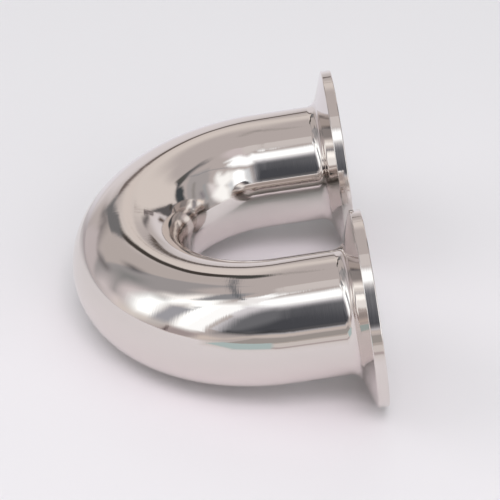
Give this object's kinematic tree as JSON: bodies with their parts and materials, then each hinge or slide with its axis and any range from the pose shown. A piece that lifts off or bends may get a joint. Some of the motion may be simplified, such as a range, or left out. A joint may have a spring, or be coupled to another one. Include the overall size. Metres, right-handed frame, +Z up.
{
  "type": "sanitary clamp elbow",
  "caption": "U-shaped 180 degree elbow of mirror-polished stainless tube with a clamp flange on each end, which turns a sanitary pipe run back on itself.",
  "frame": {"origin": "on the table, under the middle of the bounding box, with the part lying as it comes to rest on both rims and the underside of the crown", "axes": "+X out of the ports, level, so that the ports' own axis rises 8.8 degrees from it; +Y from the near arm to the far arm; +Z up from the table"},
  "size_m": [0.0802, 0.1264, 0.0503],
  "materials": {
    "polished_stainless": "polished"
  },
  "bodies": {
    "root": {"elbow_near": "polished_stainless", "elbow_far": "polished_stainless", "ferrule_near": "polished_stainless", "ferrule_far": "polished_stainless"}
  },
  "joints": []
}
